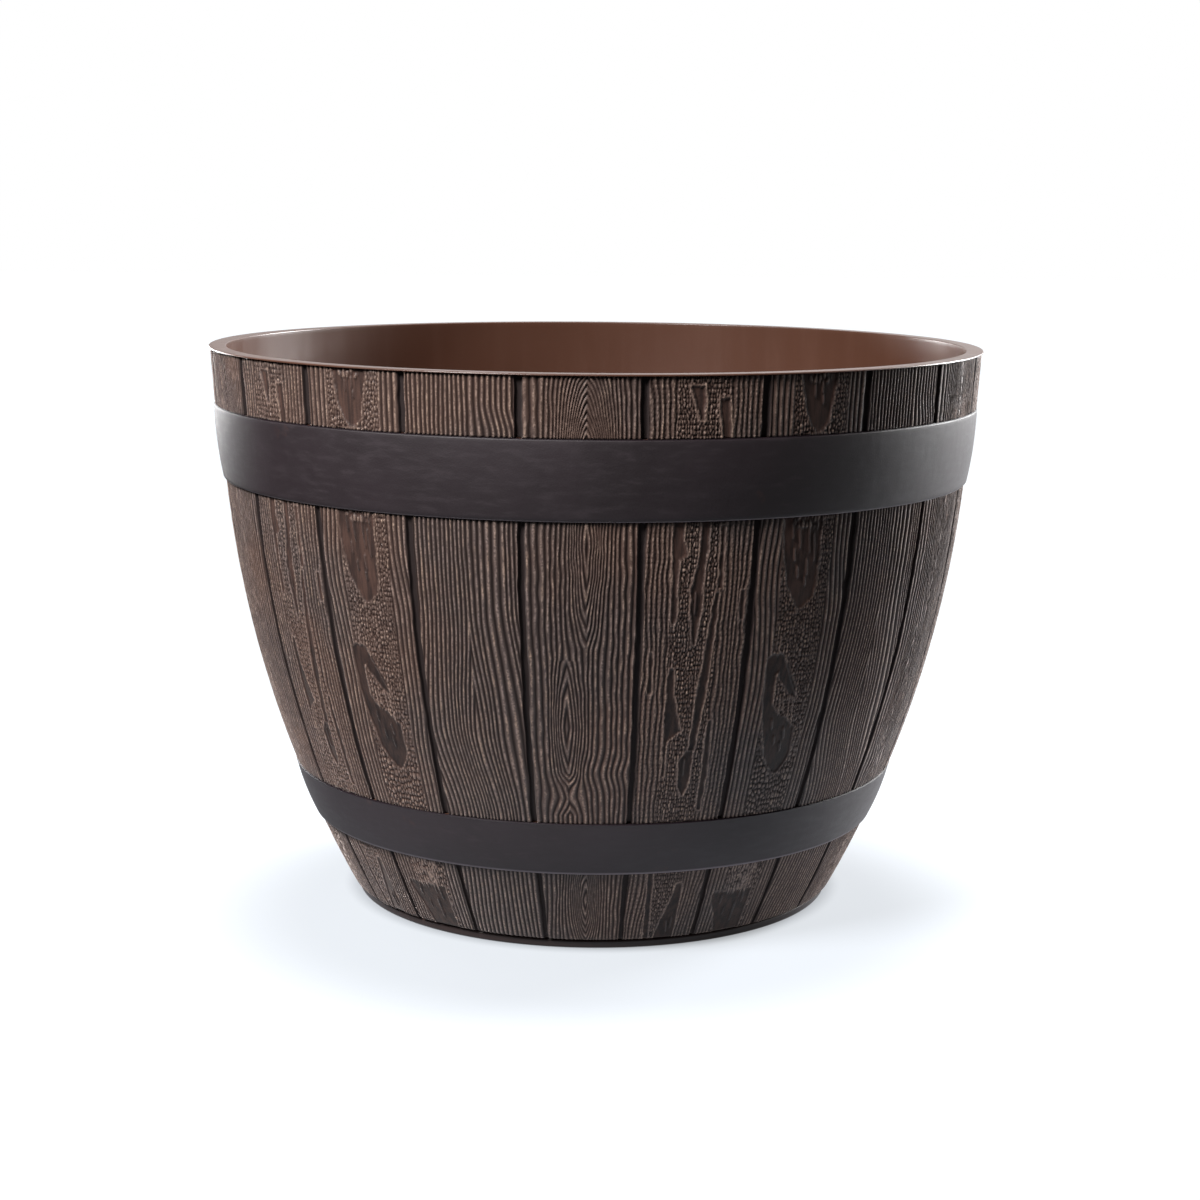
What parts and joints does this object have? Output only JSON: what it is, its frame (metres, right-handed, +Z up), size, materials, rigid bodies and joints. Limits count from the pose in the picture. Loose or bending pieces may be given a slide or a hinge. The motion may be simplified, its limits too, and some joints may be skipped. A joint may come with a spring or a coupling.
{
  "type": "half barrel planter",
  "caption": "Round half-barrel planter in moulded plastic with wood-grained staves, dark hoops, a thick rim, a foot ring and pull-out drain plugs in its floor.",
  "frame": {"origin": "on the ground, at the centre of the foot ring", "axes": "+Z up along the barrel's axis; the pictured front faces -Y"},
  "size_m": [0.392, 0.392, 0.282],
  "materials": {
    "stave_plastic": "moulded wood grain, brown over dark, satin and smooth inside",
    "hoop_plastic": "smooth charcoal with faint brown wear",
    "plug_rubber": "plain black, matt"
  },
  "bodies": {
    "barrel": {"barrel_shell": "stave_plastic", "upper_hoop": "hoop_plastic", "lower_hoop": "hoop_plastic"},
    "plug_1": {"drain_plug_1": "plug_rubber"},
    "plug_2": {"drain_plug_2": "plug_rubber"},
    "plug_3": {"drain_plug_3": "plug_rubber"},
    "plug_4": {"drain_plug_4": "plug_rubber"},
    "plug_5": {"drain_plug_5": "plug_rubber"}
  },
  "joints": [
    {"name": "plug_1_pull", "type": "slide", "parent": "barrel", "child": "plug_1", "axis": [0, 0, 1], "range_m": [0, 0.04]},
    {"name": "plug_2_pull", "type": "slide", "parent": "barrel", "child": "plug_2", "axis": [0, 0, 1], "range_m": [0, 0.04]},
    {"name": "plug_3_pull", "type": "slide", "parent": "barrel", "child": "plug_3", "axis": [0, 0, 1], "range_m": [0, 0.04]},
    {"name": "plug_4_pull", "type": "slide", "parent": "barrel", "child": "plug_4", "axis": [0, 0, 1], "range_m": [0, 0.04]},
    {"name": "plug_5_pull", "type": "slide", "parent": "barrel", "child": "plug_5", "axis": [0, 0, 1], "range_m": [0, 0.04]}
  ]
}
